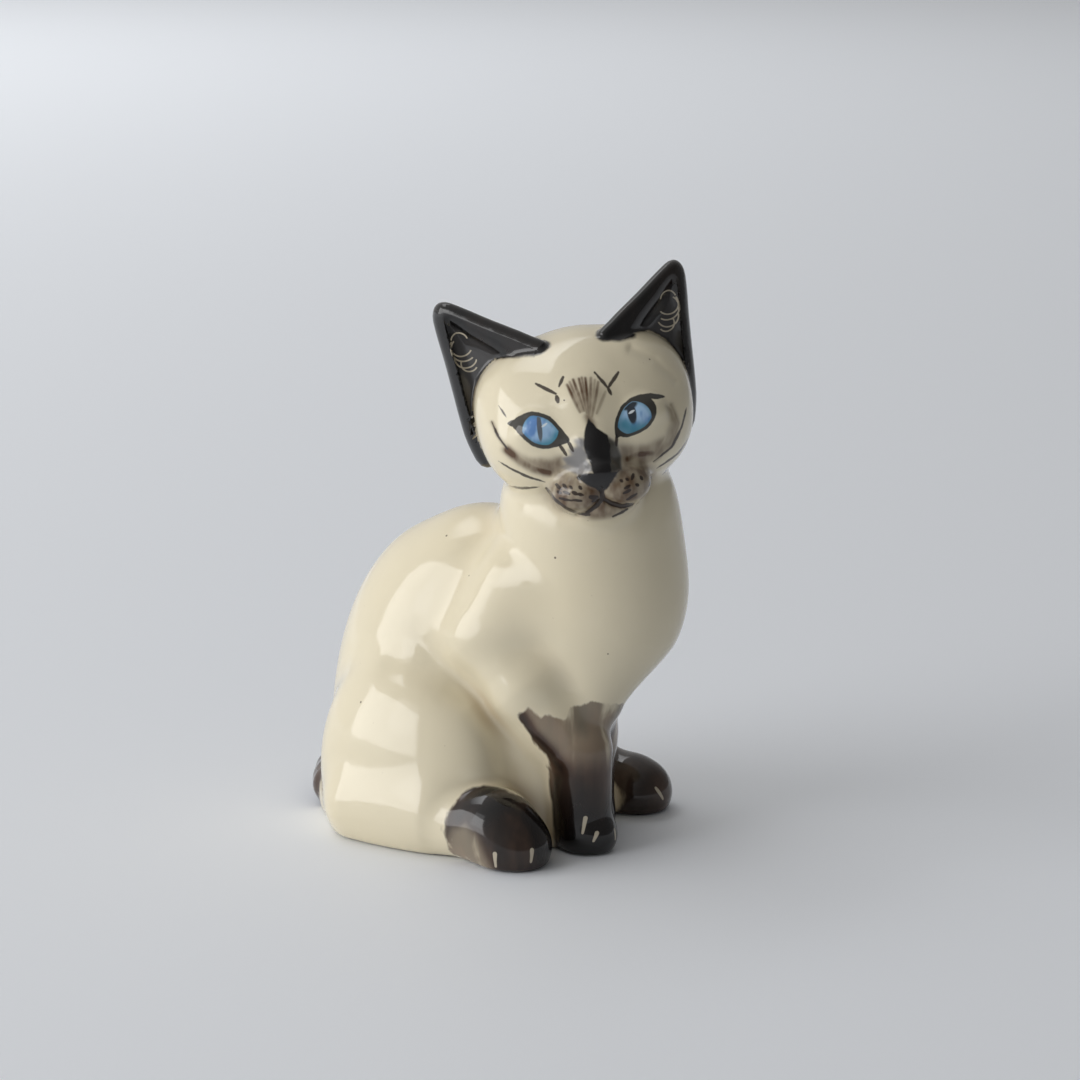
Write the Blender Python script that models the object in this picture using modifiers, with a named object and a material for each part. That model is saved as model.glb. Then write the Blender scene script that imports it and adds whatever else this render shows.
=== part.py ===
"""A seated cat figurine in slip-cast, glazed earthenware, built up from nine castings.

Units are metres and +Z is up. The cat faces -Y, so its own left side is +X, and its head is turned
to its right. The origin is the middle of the flat base. Sizes are written in millimetres, and MM
turns them into metres. Each casting is one closed solid: the body and the head are hollow, with an
even wall, and open into each other at the neck, and the body has a pour hole in its base.
"""

import math

import bmesh
import bpy
from mathutils import Matrix, Vector

MM = 0.001

WALL = 4.0              # thickness of the cast wall
LUTING_GAP = 0.3        # slip-filled gap between two castings
POUR_HOLE_RADIUS = 5.0
POUR_HOLE_AT = (0.0, 16.0)

TRUNK_VOXEL = 1.4       # grid on which the trunk's clay forms are fused
TRUNK_ROUNDS = 30       # smoothing passes that round the trunk's creases
SKIN_VOXEL = 1.0        # the same for the trunk with the head and the feet
SKIN_ROUNDS = 10
SKIN_KEEP = 0.045       # share of the fused skin's triangles that is kept

# The head's own frame has the face towards -Y and the cat's left at +X.
HEAD_AT = (-3.5, -37.0, 107.5)
HEAD_NOD = -3.0
HEAD_ROLL = -10.0
HEAD_YAW = -53.0

NECK_AT = (-2.0, -34.0, 88.5)   # a point of the joint between neck and head
NECK_SLOPE = 20.0               # the joint falls towards the chin by this angle

RIGHT_FOOT_AT = (-9.3, -40.5)   # middle of each forepaw; the left foreleg stands further back
LEFT_FOOT_AT = (2.6, -32.0)

EAR_WIDER = 0.7         # the right ear's rim stands out this much more, and the left one's this much less

CREAM = (0.80, 0.70, 0.52)
SEAL_BROWN = (0.035, 0.022, 0.018)


def clear_scene():
    for obj in list(bpy.data.objects):
        bpy.data.objects.remove(obj)


def new_collection(name):
    made = bpy.data.collections.new(name)
    bpy.context.scene.collection.children.link(made)
    return made


def glaze(name, color, roughness):
    material = bpy.data.materials.new(name)
    material.use_nodes = True
    shader = material.node_tree.nodes["Principled BSDF"]
    shader.inputs["Base Color"].default_value = (*color, 1.0)
    shader.inputs["Roughness"].default_value = roughness
    shader.inputs["Metallic"].default_value = 0.0
    return material


# ---- clay forms: each function returns a list of closed bmeshes, in millimetres ----

def turned(nod, roll, yaw):
    """A turn about Y, then X, then Z, in degrees."""
    matrix = Matrix.Rotation(math.radians(yaw), 4, "Z")
    matrix = matrix @ Matrix.Rotation(math.radians(nod), 4, "X")
    return matrix @ Matrix.Rotation(math.radians(roll), 4, "Y")


def ellipsoid(centre, radii, nod=0.0, shrink=0.0):
    form = bmesh.new()
    radii = [radius - shrink for radius in radii]
    place = Matrix.Translation(Vector(centre)) @ turned(nod, 0, 0) @ Matrix.Diagonal((*radii, 1))
    bmesh.ops.create_uvsphere(form, u_segments=32, v_segments=16, radius=1, matrix=place)
    return form


def hull(*balls):
    """The convex hull of balls, each given as (x, y, z, radius)."""
    form = bmesh.new()
    for x, y, z, radius in balls:
        place = Matrix.Translation(Vector((x, y, z)))
        bmesh.ops.create_uvsphere(form, u_segments=20, v_segments=10, radius=radius, matrix=place)
    made = bmesh.ops.convex_hull(form, input=form.verts)
    inner = [item for item in made["geom_interior"] if isinstance(item, bmesh.types.BMVert)]
    bmesh.ops.delete(form, geom=inner, context="VERTS")
    return form


def limb(*balls):
    """A tapering limb through balls."""
    return [hull(here, there) for here, there in zip(balls, balls[1:])]


def mirrored(forms):
    out = []
    for form in forms:
        twin = form.copy()
        bmesh.ops.scale(twin, vec=(-1, 1, 1), verts=twin.verts)
        bmesh.ops.reverse_faces(twin, faces=twin.faces)
        out.append(twin)
    return out


def moved(forms, matrix):
    for form in forms:
        bmesh.ops.transform(form, matrix=matrix, verts=form.verts)
    return forms


def head_matrix():
    return Matrix.Translation(Vector(HEAD_AT)) @ turned(HEAD_NOD, HEAD_ROLL, HEAD_YAW)


def torso_forms(shrink=0.0):
    return [
        ellipsoid((0, -37.5, 66), (22, 24, 23.5), shrink=shrink),           # chest
        ellipsoid((0, -1, 47.5), (25, 32, 31), nod=25, shrink=shrink),      # ribs and back
        ellipsoid((0, -15, 63.5), (17, 22, 14.5), nod=32, shrink=shrink),   # withers
        ellipsoid((0, 12.5, 24), (26, 25.5, 35), shrink=shrink),            # rump
        ellipsoid((0, 7, 4), (31, 35.5, 23), shrink=shrink),                # seat
        ellipsoid((0, -20, 26), (20, 21, 30), shrink=shrink),               # belly
        ellipsoid((0, -17, 3), (24, 22, 24), shrink=shrink),                # web between the feet
        ellipsoid((-1, -36.5, 84), (21, 22.5, 22), shrink=shrink),          # neck
    ]


def flank_forms():
    """The right haunch, with the hock along the ground."""
    return [ellipsoid((-24, 1, 17), (14, 27, 28.5))] + limb((-31, 12, 8, 8.5), (-30, -10, 9, 9.5))


def arm_forms(side):
    """Upper arm, elbow and forearm; the left one is tucked further back."""
    if side < 0:
        return limb((-12, -24, 66, 12.5), (-13.5, -17, 52, 13), (-13.5, -27, 41, 11.5), (-10.3, -38, 27, 8.6))
    return limb((12, -24, 66, 12), (13.5, -17, 52, 12.5), (9, -24, 40, 9.2), (3.4, -31, 26, 7.6))


def hind_paw_forms(side):
    """The front of a hind foot, flat on the ground and rounded like a pebble."""
    x = -29 if side < 0 else 27
    forms = limb((x - 1, -18, 8, 8.5), (x, -30, 6.5, 7.5))
    forms.append(ellipsoid((x, -32.5, 4.5), (9.4, 10, 9)))
    if side < 0:
        forms.append(ellipsoid((x, -27, 9), (9.5, 10.5, 9.5)))
    return forms


def foreleg_forms(foot_at, side):
    """One lower foreleg, down to a paw centred on foot_at."""
    foot_x, foot_y = foot_at
    forms = limb((foot_x + 0.5 * side, foot_y + 0.5, 25, 8), (foot_x, foot_y, 6.5, 7.2))
    forms.append(ellipsoid((foot_x, foot_y - 1, 4), (7.2, 8, 7)))
    return forms


def skull_forms(shrink=0.0):
    """Head without ears and muzzle, in the head's own frame."""
    forms = [
        ellipsoid((0, 3, 2.5), (25, 23, 20), shrink=shrink),
        ellipsoid((0, -8, -3), (19, 13.5, 15.5), shrink=shrink),
    ]
    for side in (-1, 1):
        forms.append(ellipsoid((12 * side, 2, 6), (14, 15, 13.5), shrink=shrink))
        forms.append(ellipsoid((10.5 * side, -4, -2.5), (14.5, 15, 13), shrink=shrink))
    return forms


def muzzle_forms():
    """Nose bridge, nose, whisker pads, chin and eyes, in the head's own frame."""
    forms = limb((0, -16, 5, 5), (0, -20, -4, 4.4), (0, -22.5, -9, 3.6))
    forms.append(ellipsoid((0, -24.6, -10), (4.2, 2.2, 2.6)))
    for side in (-1, 1):
        forms.append(ellipsoid((4.8 * side, -18.5, -14.5), (7.5, 7.4, 5.8)))
        forms.append(ellipsoid((11.8 * side, -16.5, 1.2), (7, 4.8, 5)))
    forms.append(ellipsoid((0, -16, -19.5), (7.5, 7, 4.5)))
    return forms


def ear_forms(wide):
    """The left ear: a leaf with a rounded tip, in the head's own frame; wide pushes its rim out."""
    return [
        hull((8.5, -4.2, 18.8, 2.6), (27.8, 6.0, 31.0, 2.5), (28.5 + wide, 6.2, 27, 2.6),
             (27.4 + wide, 5.4, 10, 2.6), (26.2 + wide, 4.6, -3, 2.6), (18, 8, 10, 5.5)),
    ]


def ear_cup_forms():
    """The hollow of the left ear, which faces forward and outward."""
    return [hull((26.0, 2.6, 26.3, 1.2), (14.8, -3.4, 16.6, 2.2), (24.8, 2.0, 2.8, 2.2),
                 (21.5, 1.6, 13, 3.4))]


def tail_forms():
    """The tail lies on the ground from the rump round the left side."""
    return limb((-14, 34, 5.2, 5.5), (0, 41, 6, 6), (16, 39, 6.2, 6.2), (30, 28, 6.2, 6.2),
                (38, 13, 6, 6), (41, -2, 5.6, 5.6), (40, -11, 5.2, 5.2))


# ---- from forms to objects ----

def mesh_of(name, forms):
    """One mesh, in metres, that holds every form; overlapping forms stay as they are."""
    whole = bmesh.new()
    for form in forms:
        piece = bpy.data.meshes.new("form")
        form.to_mesh(piece)
        whole.from_mesh(piece)
        bpy.data.meshes.remove(piece)
        form.free()
    bmesh.ops.scale(whole, vec=(MM, MM, MM), verts=whole.verts)
    bmesh.ops.recalc_face_normals(whole, faces=whole.faces)
    mesh = bpy.data.meshes.new(name)
    whole.to_mesh(mesh)
    whole.free()
    return mesh


def object_of(name, forms, collection):
    obj = bpy.data.objects.new(name, mesh_of(name, forms))
    collection.objects.link(obj)
    return obj


def fuse(obj, voxel, rounds, keep):
    """Blend overlapping forms into one skin, as a modeller smooths clay, and thin its triangles."""
    remesh = obj.modifiers.new("Fuse", "REMESH")
    remesh.mode = "VOXEL"
    remesh.voxel_size = voxel * MM
    soften = obj.modifiers.new("Soften", "SMOOTH")
    soften.factor = 0.5
    soften.iterations = rounds
    if keep < 1.0:
        thin = obj.modifiers.new("Thin", "DECIMATE")
        thin.ratio = keep


def settle(obj):
    """Replace the object's mesh with what its modifiers make of it."""
    evaluated = obj.evaluated_get(bpy.context.evaluated_depsgraph_get())
    mesh = bpy.data.meshes.new_from_object(evaluated)
    obj.modifiers.clear()
    obj.data = mesh


def as_cutter(obj):
    obj.hide_render = True
    obj.display_type = "WIRE"
    return obj


def cut(obj, cutter, operation):
    boolean = obj.modifiers.new("Cut", "BOOLEAN")
    boolean.object = cutter
    boolean.operation = operation


def box(low, high, turn=None, pivot=(0, 0, 0)):
    """A box between two corners, turned about a pivot."""
    form = bmesh.new()
    bmesh.ops.create_cube(form, size=1)
    size = [top - bottom for bottom, top in zip(low, high)]
    middle = [(top + bottom) / 2 for bottom, top in zip(low, high)]
    bmesh.ops.scale(form, vec=size, verts=form.verts)
    bmesh.ops.translate(form, vec=middle, verts=form.verts)
    if turn is not None:
        about = Matrix.Translation(Vector(pivot)) @ turn @ Matrix.Translation(-Vector(pivot))
        bmesh.ops.transform(form, matrix=about, verts=form.verts)
    return form


def above_neck(grow):
    """Everything above the neck joint, whose plane falls towards the chin."""
    x, y, z = NECK_AT
    turn = Matrix.Rotation(math.radians(HEAD_YAW), 4, "Z")
    turn = turn @ Matrix.Rotation(math.radians(NECK_SLOPE), 4, "X")
    return [box((x - 50, y - 50, z - grow), (x + 50, y + 50, z + 80), turn, NECK_AT)]


def foreleg_region(side, grow):
    """The lower foreleg, in front of the web and below the elbow."""
    back = -35.5 if side < 0 else -31.0
    middle = (RIGHT_FOOT_AT[0] + LEFT_FOOT_AT[0]) / 2
    inner = middle + side * (LUTING_GAP / 2 - grow)
    outer = middle + side * 15.2
    return [box((min(inner, outer), -70, -5), (max(inner, outer), back + grow, 33 + grow))]


def hind_paw_region(side, grow):
    """The front of a hind foot, up to a joint that leans forward."""
    lean = Matrix.Rotation(math.radians(32), 4, "X")
    pivot = (0, -9, 0)
    inner, outer = 21.5 * side, 60 * side
    low = (min(inner, outer) - (grow if side > 0 else 0), -60, -30)
    high = (max(inner, outer) + (grow if side < 0 else 0), -9 + grow, 33)
    return [box(low, high, lean, pivot)]


def ground():
    return [box((-150, -150, -60), (150, 150, 0))]


def trunk_form(collection):
    """The trunk, smoothed more than the head and the feet are."""
    right = flank_forms()
    forms = torso_forms() + limb((-0.5, -43, 56, 14), (-5, -39, 39, 9.5))
    obj = object_of("clay_trunk", forms + mirrored(right) + right, collection)
    fuse(obj, TRUNK_VOXEL, TRUNK_ROUNDS, 1.0)
    settle(obj)
    form = bmesh.new()
    form.from_mesh(obj.data)
    bmesh.ops.scale(form, vec=(1 / MM, 1 / MM, 1 / MM), verts=form.verts)
    as_cutter(obj)
    return form


def skin(name, collection):
    """The whole cat without ears and tail."""
    forms = [trunk_form(collection)]
    for side, foot_at in ((-1, RIGHT_FOOT_AT), (1, LEFT_FOOT_AT)):
        forms += arm_forms(side) + foreleg_forms(foot_at, side) + hind_paw_forms(side)
    forms += moved(skull_forms() + muzzle_forms(), head_matrix())
    obj = object_of(name, forms, collection)
    fuse(obj, SKIN_VOXEL, SKIN_ROUNDS, SKIN_KEEP)
    settle(obj)
    return obj


def cutters(collection):
    """Every solid that shapes a casting without being one, by name."""
    made = {"ground": object_of("cut_ground", ground(), collection)}
    made["head"] = object_of("region_head", above_neck(0), collection)
    made["head_grown"] = object_of("region_head_grown", above_neck(LUTING_GAP), collection)
    for word, side in (("right", -1), ("left", 1)):
        for part, region in (("foreleg", foreleg_region), ("hind_paw", hind_paw_region)):
            name = word + "_" + part
            made[name] = object_of("region_" + name, region(side, 0), collection)
            grown = object_of("region_" + name + "_grown", region(side, LUTING_GAP), collection)
            made[name + "_grown"] = grown
    for obj in made.values():
        as_cutter(obj)
    return made


def body_cavity(collection):
    forms = torso_forms(WALL + 1.0)
    obj = object_of("cut_body_cavity", forms, collection)
    fuse(obj, 2.0, 4, 0.13)
    settle(obj)
    floor = as_cutter(object_of("cut_floor", [box((-150, -150, -60), (150, 150, WALL))], collection))
    cut(obj, floor, "DIFFERENCE")
    settle(obj)
    return as_cutter(obj)


def head_cavity(collection):
    forms = moved(skull_forms(WALL + 1.0), head_matrix())
    forms.append(ellipsoid((-2, -35, 88), (16, 17, 16)))
    obj = object_of("cut_head_cavity", forms, collection)
    fuse(obj, 2.0, 4, 0.2)
    settle(obj)
    return as_cutter(obj)


def pour_hole(collection):
    form = bmesh.new()
    place = Matrix.Translation(Vector((*POUR_HOLE_AT, 0)))
    bmesh.ops.create_cone(form, cap_ends=True, segments=32, radius1=POUR_HOLE_RADIUS,
                          radius2=POUR_HOLE_RADIUS, depth=4 * WALL, matrix=place)
    return as_cutter(object_of("cut_pour_hole", [form], collection))


def casting(name, source, parts, material):
    """A copy of source's mesh as an object of its own."""
    obj = bpy.data.objects.new(name, source.data.copy())
    parts.objects.link(obj)
    obj.data.materials.clear()
    obj.data.materials.append(material)
    return obj


def build_body(whole, tools, collections):
    parts, cuts = collections
    body = casting("body", whole, parts, glaze("body_glaze", CREAM, 0.15))
    cut(body, tools["ground"], "DIFFERENCE")
    cut(body, tools["head_grown"], "DIFFERENCE")
    for word in ("right", "left"):
        cut(body, tools[word + "_foreleg_grown"], "DIFFERENCE")
        cut(body, tools[word + "_hind_paw_grown"], "DIFFERENCE")
    cut(body, body_cavity(cuts), "DIFFERENCE")
    cut(body, pour_hole(cuts), "DIFFERENCE")
    return body


def build_head(whole, tools, collections):
    parts, cuts = collections
    head = casting("head", whole, parts, glaze("head_glaze", CREAM, 0.15))
    cut(head, tools["head"], "INTERSECT")
    cut(head, head_cavity(cuts), "DIFFERENCE")
    return head


def build_feet(whole, tools, parts):
    for word in ("right", "left"):
        for part in ("foreleg", "hind_paw"):
            name = word + "_" + part
            foot = casting(name, whole, parts, glaze(name + "_glaze", SEAL_BROWN, 0.12))
            cut(foot, tools["ground"], "DIFFERENCE")
            cut(foot, tools[name], "INTERSECT")


def skull_seat(collection):
    """The skull, grown by the luting gap: what an ear is fitted to."""
    forms = moved(skull_forms(-LUTING_GAP), head_matrix())
    obj = object_of("cut_skull_seat", forms, collection)
    fuse(obj, 1.2, 6, 0.12)
    settle(obj)
    return as_cutter(obj)


def build_ears(collections):
    parts, cuts = collections
    seat = skull_seat(cuts)
    for word, mirror in (("left", False), ("right", True)):
        name = word + "_ear"
        leaf = mirrored(ear_forms(EAR_WIDER)) if mirror else ear_forms(-EAR_WIDER)
        hollow = mirrored(ear_cup_forms()) if mirror else ear_cup_forms()
        ear = object_of(name, moved(leaf, head_matrix()), parts)
        ear.data.materials.append(glaze(name + "_glaze", SEAL_BROWN, 0.12))
        fuse(ear, 0.8, 4, 0.1)
        settle(ear)
        cup = object_of("cut_" + name + "_cup", moved(hollow, head_matrix()), cuts)
        fuse(cup, 0.8, 4, 0.1)
        settle(cup)
        cut(ear, as_cutter(cup), "DIFFERENCE")
        cut(ear, seat, "DIFFERENCE")


def grown_skin(whole, collection):
    """The skin swollen by the luting gap: what the tail is fitted to."""
    obj = bpy.data.objects.new("cut_grown_skin", whole.data.copy())
    collection.objects.link(obj)
    swell = obj.modifiers.new("Swell", "DISPLACE")
    swell.strength = 1.2 * LUTING_GAP * MM
    swell.mid_level = 0.0
    return as_cutter(obj)


def build_tail(whole, tools, collections):
    parts, cuts = collections
    tail = object_of("tail", tail_forms(), parts)
    tail.data.materials.append(glaze("tail_glaze", SEAL_BROWN, 0.12))
    fuse(tail, 1.0, 8, 0.12)
    settle(tail)
    cut(tail, tools["ground"], "DIFFERENCE")
    cut(tail, grown_skin(whole, cuts), "DIFFERENCE")
    return tail


def main():
    clear_scene()
    parts = new_collection("cat_figurine")
    cuts = new_collection("cutters")
    collections = (parts, cuts)
    tools = cutters(cuts)
    whole = as_cutter(skin("clay_skin", cuts))
    build_body(whole, tools, collections)
    build_head(whole, tools, collections)
    build_feet(whole, tools, parts)
    build_ears(collections)
    build_tail(whole, tools, collections)
    for obj in parts.objects:
        obj.data.shade_smooth()


main()
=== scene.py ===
"""A glazed earthenware cat: one continuous glazed skin over the nine castings of the CAD frame."""

import math

import bmesh
import bpy
import numpy as np
from mathutils import Matrix, Vector


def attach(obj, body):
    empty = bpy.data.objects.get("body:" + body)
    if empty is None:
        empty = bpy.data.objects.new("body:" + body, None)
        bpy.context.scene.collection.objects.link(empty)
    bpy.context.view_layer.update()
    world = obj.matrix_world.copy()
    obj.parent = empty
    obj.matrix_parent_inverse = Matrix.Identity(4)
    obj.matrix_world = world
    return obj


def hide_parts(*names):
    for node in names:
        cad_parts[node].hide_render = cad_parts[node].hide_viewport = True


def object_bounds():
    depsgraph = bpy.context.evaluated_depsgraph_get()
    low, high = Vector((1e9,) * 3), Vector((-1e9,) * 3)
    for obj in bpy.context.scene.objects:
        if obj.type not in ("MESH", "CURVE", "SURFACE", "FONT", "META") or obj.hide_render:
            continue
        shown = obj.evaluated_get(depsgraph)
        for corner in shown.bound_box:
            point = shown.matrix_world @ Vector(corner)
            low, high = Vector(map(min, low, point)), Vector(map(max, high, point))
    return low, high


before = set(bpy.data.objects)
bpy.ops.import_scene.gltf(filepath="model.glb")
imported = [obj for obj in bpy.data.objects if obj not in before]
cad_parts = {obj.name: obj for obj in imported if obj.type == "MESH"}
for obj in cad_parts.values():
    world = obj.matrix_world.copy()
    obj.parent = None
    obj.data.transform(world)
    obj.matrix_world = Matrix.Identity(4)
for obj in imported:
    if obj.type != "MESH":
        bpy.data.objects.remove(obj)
CAD_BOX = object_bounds()

MM = 0.001
STEP = 0.8              # grid on which the skin is first found, in millimetres

HEAD_AT = np.array((-3.5, -37.0, 107.5))
HEAD_TURN = (-3.0, -10.0, -53.0)      # nod, roll, yaw in degrees
NECK_AT = np.array((-2.0, -34.0, 88.5))
NECK_SLOPE = 20.0
RIGHT_FOOT = (-9.3, -40.5)
LEFT_FOOT = (2.6, -32.0)


def rotation(nod, roll, yaw):
    turn = Matrix.Rotation(math.radians(yaw), 3, "Z")
    turn = turn @ Matrix.Rotation(math.radians(nod), 3, "X")
    turn = turn @ Matrix.Rotation(math.radians(roll), 3, "Y")
    return np.array(turn, dtype=np.float32)


HEAD_ROT = rotation(*HEAD_TURN)


def to_head(p):
    """Row-frame points, in the head's own frame: face to -Y, the cat's left to +X."""
    return (p - HEAD_AT.astype(np.float32)) @ HEAD_ROT


# ---- signed distances, in millimetres ----

def length(v):
    return np.sqrt(np.einsum("ij,ij->i", v, v))


def ellipsoid(p, centre, radii, nod=0.0):
    q = p - np.array(centre, dtype=np.float32)
    if nod:
        q = q @ rotation(nod, 0, 0)
    r = np.array(radii, dtype=np.float32)
    k0 = length(q / r)
    k1 = np.maximum(length(q / (r * r)), 1e-6)
    return k0 * (k0 - 1) / k1


def cone(p, a, b):
    """A tapering limb between two balls, each (x, y, z, radius)."""
    start = np.array(a[:3], dtype=np.float32)
    along = np.array(b[:3], dtype=np.float32) - start
    q = p - start
    h = np.clip(q @ along / float(along @ along), 0, 1)
    return length(q - h[:, None] * along) - (a[3] + (b[3] - a[3]) * h)


def limb(p, *balls):
    """Cones end to end through a line of balls."""
    parts = [cone(p, a, b) for a, b in zip(balls, balls[1:])]
    out = parts[0]
    for part in parts[1:]:
        out = smooth_min(out, part, 1.5)
    return out


def smooth_min(a, b, k):
    h = np.clip(0.5 + 0.5 * (b - a) / k, 0, 1)
    return b * (1 - h) + a * h - k * h * (1 - h)


def smooth_max(a, b, k):
    return -smooth_min(-a, -b, k)


def path_distance(p, points):
    """Distance to a broken line through points."""
    best = np.full(len(p), 1e9, dtype=np.float32)
    for a, b in zip(points, points[1:]):
        best = np.minimum(best, cone(p, (*a, 0.0), (*b, 0.0)))
    return best


def groove(p, points, width):
    """1 along a line, falling to 0 over the width."""
    return np.exp(-(path_distance(p, points) / width) ** 2)


def flat_path(x, z, points):
    """Distance, across the face, to a broken line through (x, z) points."""
    best = np.full(len(x), 1e3, dtype=np.float32)
    for (ax, az), (bx, bz) in zip(points, points[1:]):
        dx, dz = bx - ax, bz - az
        h = np.clip(((x - ax) * dx + (z - az) * dz) / max(dx * dx + dz * dz, 1e-6), 0, 1)
        best = np.minimum(best, np.hypot(x - ax - h * dx, z - az - h * dz))
    return best


def flat_area(x, z, corners):
    """Signed distance, across the face, to a polygon; negative inside."""
    inside = np.zeros(len(x), dtype=bool)
    for (ax, az), (bx, bz) in zip(corners, corners[1:] + corners[:1]):
        crosses = (az > z) != (bz > z)
        inside ^= crosses & (x < (bx - ax) * (z - az) / (bz - az if bz != az else 1e-6) + ax)
    edge = flat_path(x, z, corners + corners[:1])
    return np.where(inside, -edge, edge)


# ---- the cat's forms ----

SHOULDER_LINE = ((17, -15, 72), (22, -10, 62), (25, -6.5, 54), (26, -8, 47), (26, -13, 42.5))
THIGH_LINE = ((30, 3, 45), (27, -11, 43), (24, -19, 38), (23.5, -24, 31), (24, -26, 24))


def trunk(p):
    """Back, haunches, belly, chest and neck."""
    back = ellipsoid(p, (0, -1, 47.5), (25, 32, 31), 25)
    back = smooth_min(back, ellipsoid(p, (0, -15, 63.5), (17, 22, 14.5), 32), 10)
    back = smooth_min(back, ellipsoid(p, (0, 12.5, 24), (26, 25.5, 35)), 12)
    back = smooth_min(back, ellipsoid(p, (0, 7, 4), (31, 35.5, 23)), 6)
    back = smooth_min(back, ellipsoid(p, (0, -20, 26), (20, 21, 30)), 8)
    back = smooth_min(back, ellipsoid(p, (0, -17, 3), (24, 22, 24)), 6)
    front = ellipsoid(p, (0, -37.5, 66), (22, 24, 23.5))
    front = smooth_min(front, ellipsoid(p, (-1, -36.5, 84), (21, 22.5, 22)), 8)
    front = smooth_min(front, limb(p, (-0.5, -43, 56, 14), (-5, -39, 39, 9.5)), 8)
    out = smooth_min(back, front, 8)
    for side in (-1, 1):
        out = smooth_min(out, ellipsoid(p, (24 * side, 1, 17), (14, 27, 28.5)), 7)
        out = smooth_min(out, limb(p, (31 * side, 12, 8, 8.5), (30 * side, -10, 9, 9.5)), 7)
    return out


def paw(p, side):
    """The mound of a hind paw, at the end of the haunch."""
    x = -29 if side < 0 else 27
    mound = limb(p, (x - 1, -18, 8, 8.5), (x, -30, 6.5, 7.5))
    mound = smooth_min(mound, ellipsoid(p, (x + 0.2, -32.5, 4.5), (9.4, 10, 9)), 2)
    if side < 0:
        mound = smooth_min(mound, ellipsoid(p, (x, -27, 9), (9.5, 10.5, 9.5)), 4)
    return mound


def arm(p, side):
    """Upper arm, elbow and forearm, down to the wrist."""
    if side < 0:
        return limb(p, (-12, -24, 66, 12.5), (-13.5, -17, 52, 13), (-13.5, -27, 41, 11.5),
                    (-10.3, -38, 27, 8.6))
    return limb(p, (12, -24, 66, 12), (13.5, -17, 52, 12.5), (9.0, -24, 40, 9.2), (3.4, -31, 26, 7.6))


def foreleg(p, foot, side):
    """Lower foreleg and paw."""
    x, y = foot
    leg = limb(p, (x + side * 0.5, y + 0.5, 25, 8), (x, y, 6.5, 7.2))
    return smooth_min(leg, ellipsoid(p, (x, y - 1, 4), (7.2, 8, 7)), 2)


NOSE_TIP = (0, -24.6, -10)
MOUTH = ((-6.5, -19.6), (-4.1, -19.1), (-2.0, -17.7), (-0.3, -16.2), (-0.2, -14.4), (-0.3, -16.2),
         (1.7, -18.0), (3.9, -19.2), (6.4, -19.5))


def head(q):
    """Skull, brows, cheeks, nose and muzzle, in the head's own frame."""
    out = ellipsoid(q, (0, 3, 2.5), (25, 23, 20))
    out = smooth_min(out, ellipsoid(q, (0, -8, -3), (19, 13.5, 15.5)), 6)
    for side in (-1, 1):
        out = smooth_min(out, ellipsoid(q, (12 * side, 2, 6), (14, 15, 13.5)), 4)
        out = smooth_min(out, ellipsoid(q, (10.5 * side, -4, -2.5), (14.5, 15, 13)), 6)
    out = smooth_min(out, limb(q, (0, -16, 5, 5), (0, -20, -4, 4.4), (0, -22.5, -9, 3.6)), 5)
    for side in (-1, 1):
        out = smooth_min(out, ellipsoid(q, (4.8 * side, -18.5, -14.5), (7.3, 7.2, 5.6)), 3)
        out = smooth_min(out, ellipsoid(q, (11.8 * side, -16.5, 1.2), (7, 4.6, 5)), 1.5)
    out = smooth_min(out, ellipsoid(q, (0, -16, -19.5), (7.5, 7, 4.5)), 2.5)
    out = smooth_min(out, ellipsoid(q, NOSE_TIP, (4.2, 2.2, 2.6)), 1.6)
    flat = np.stack((q[:, 0], np.zeros(len(q), np.float32), q[:, 2]), axis=1)
    cleft = groove(flat, [(x, 0, z) for x, z in MOUTH], 0.9)
    fold = groove(flat, [(x, 0, z) for x, z in BROW_FOLD], 1.2)
    return out + (0.55 * cleft + 0.45 * fold) * (q[:, 1] < 0)


def curve_point(a, b, c, d, t):
    """The point a share t of the way from b to c on a Catmull-Rom curve."""
    return b + 0.5 * t * (c - a + t * (2 * a - 5 * b + 4 * c - d + t * (3 * (b - c) + d - a)))


def rounded(corners, cuts=3):
    """A closed outline with its corners eased."""
    out = []
    count = len(corners)
    for i in range(count):
        a, b, c, d = (np.array(corners[(i + k - 1) % count]) for k in range(4))
        for t in np.arange(cuts) / cuts:
            spot = curve_point(a, b, c, d, t)
            out.append((float(spot[0]), float(spot[1])))
    return tuple(out)


EAR_OUTLINE = rounded(((6.4, 19.6), (9.5, 22.8), (17.8, 27.8), (24.0, 31.7), (27.6, 33.6), (30.0, 33.2),
                       (31.3, 30.6), (31.2, 26.0), (30.5, 19.0), (29.9, 11.3), (29.4, 4.5), (28.6, -1.5),
                       (26.4, -7.5), (22.0, -7.0), (17.0, 2.0), (11.0, 10.0)))
CUP_OUTLINE = rounded(((14.5, 16.5), (18.5, 21.5), (23.5, 25.4), (27.6, 28.8), (28.4, 26.0), (28.0, 18.0),
                       (27.4, 10.0), (26.6, 3.0), (24.5, -1.0), (20.0, 3.0), (16.0, 10.0)), 2)
EAR_EDGE = 2.6


def widened(x, wide):
    """Distance across the head, stretched outward from the ear's root."""
    return x - wide * (x - 6) / 25


def smooth_step(value, low, high):
    t = np.clip((value - low) / (high - low), 0, 1)
    return t * t * (3 - 2 * t)


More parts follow.
